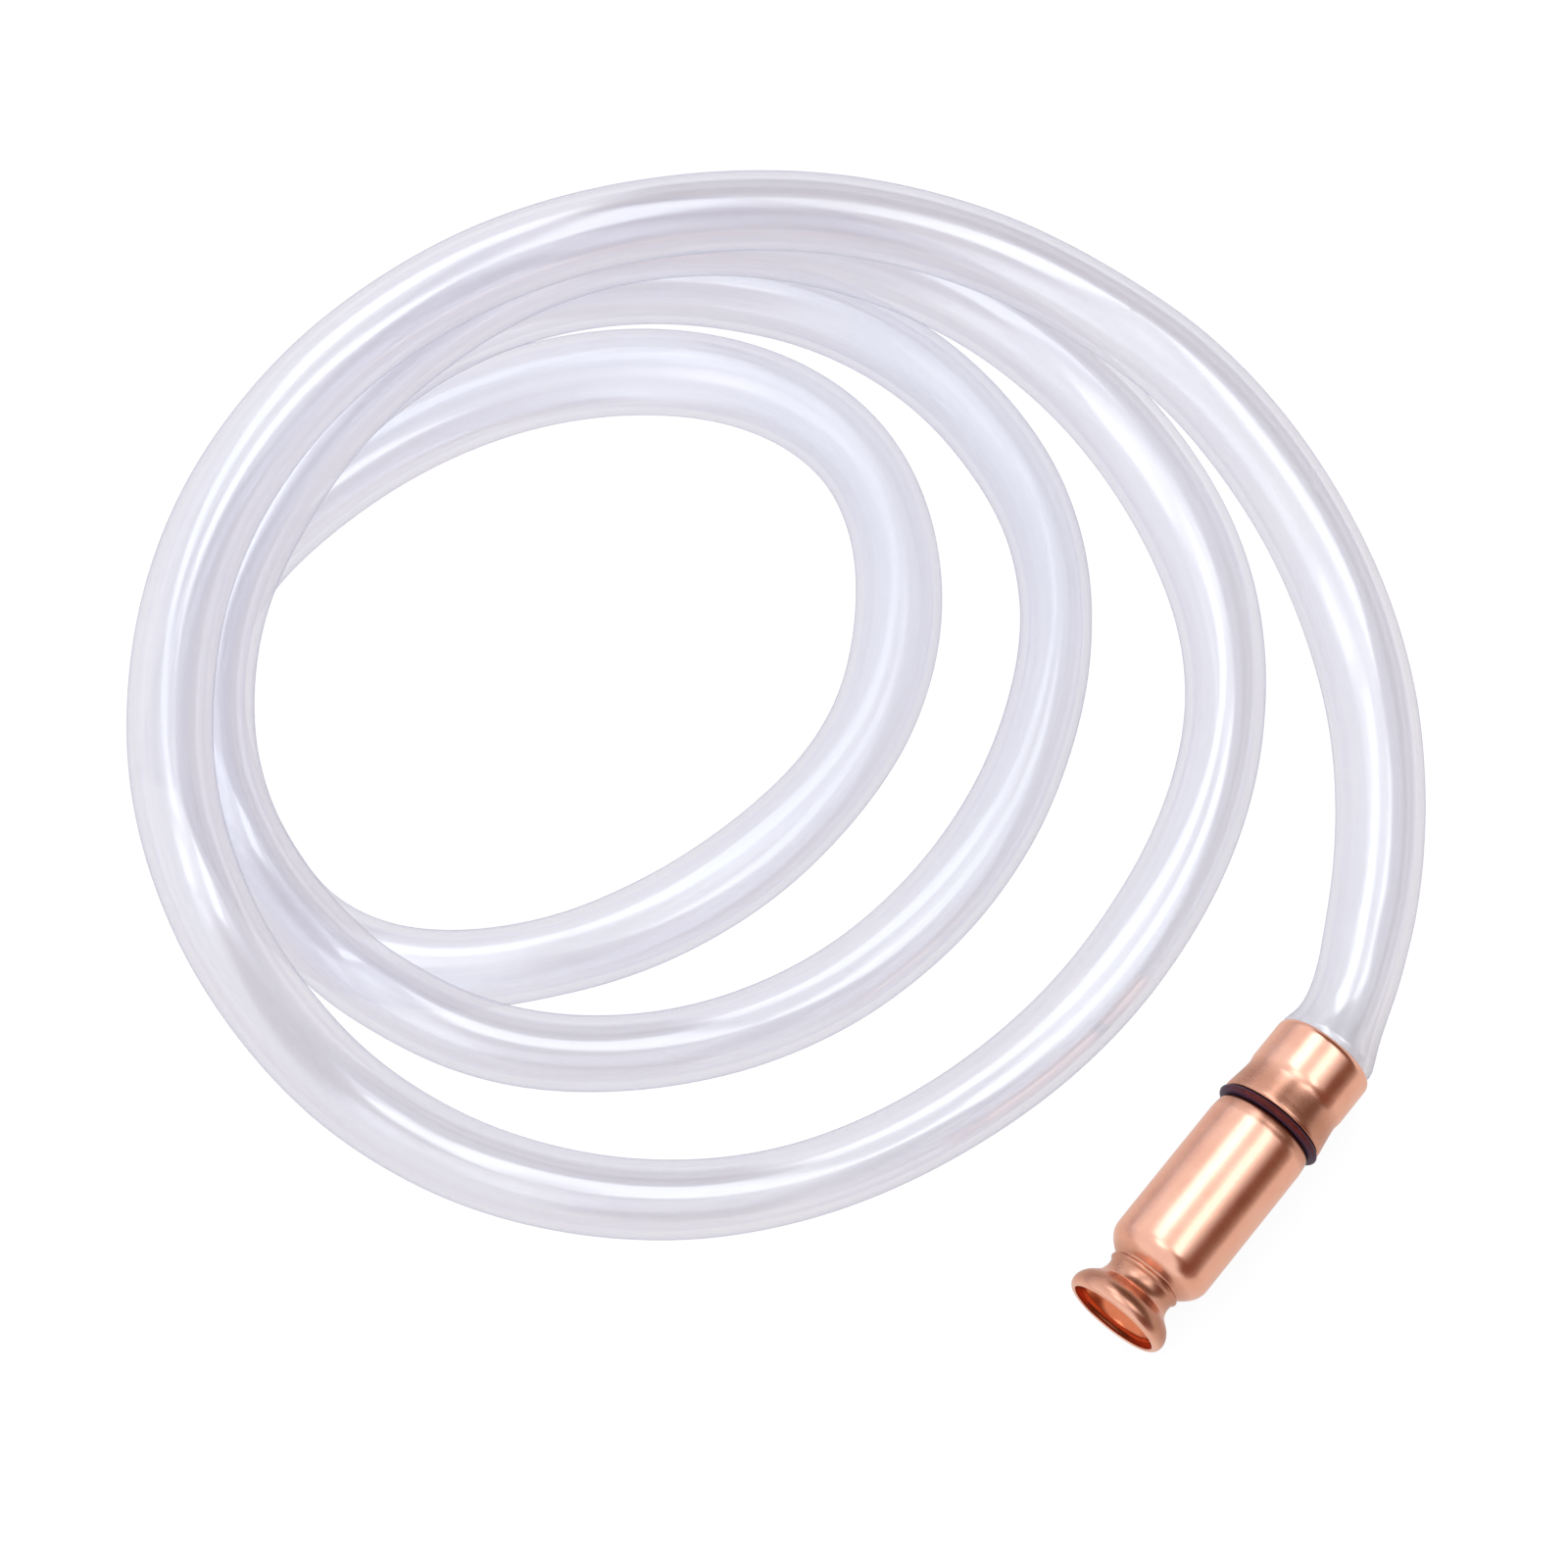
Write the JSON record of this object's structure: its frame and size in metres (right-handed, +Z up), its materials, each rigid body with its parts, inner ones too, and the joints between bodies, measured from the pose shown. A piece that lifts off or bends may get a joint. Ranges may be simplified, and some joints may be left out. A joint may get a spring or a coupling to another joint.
{
  "type": "self-priming siphon",
  "caption": "Self-priming shaker siphon: a copper foot-valve head with a bell mouth and inner check ball, on a coiled length of clear flexible hose.",
  "frame": {"origin": "centre of the inlet throat, on the axis of the copper head", "axes": "+Y from the head's mouth towards the hose, so the mouth faces -Y; +Z up from the floor the siphon lies on, which is 15 mm below the origin; +X completes the frame, away from the coil"},
  "size_m": [0.3337, 0.3136, 0.085],
  "materials": {
    "copper": "satin",
    "black_rubber": "satin",
    "ball_glass": "polished",
    "stop_brass": "satin",
    "clear_pvc": "polished"
  },
  "bodies": {
    "coil": {"hose_coil": "clear_pvc"},
    "lead": {"hose_lead": "clear_pvc"},
    "head": {"hose_end": "clear_pvc", "hose_collar": "copper", "joint_o_ring": "black_rubber", "spigot_tube": "copper", "valve_barrel": "copper", "seat_ring": "black_rubber", "ball_stop": "stop_brass"},
    "ball": {"check_ball": "ball_glass"}
  },
  "joints": [
    {"name": "lead_lift", "type": "hinge", "parent": "coil", "child": "lead", "pos_m": [-0.04339, 0.15805, 0], "axis": [-0.704, -0.7102, 0], "range_deg": [0, 25]},
    {"name": "head_swing", "type": "hinge", "parent": "lead", "child": "head", "pos_m": [0, 0.09155, 0], "axis": [0, 0, 1], "range_deg": [-18, 18]},
    {"name": "ball_lift", "type": "slide", "parent": "head", "child": "ball", "axis": [0, 1, 0], "range_m": [0, 0.015]}
  ]
}
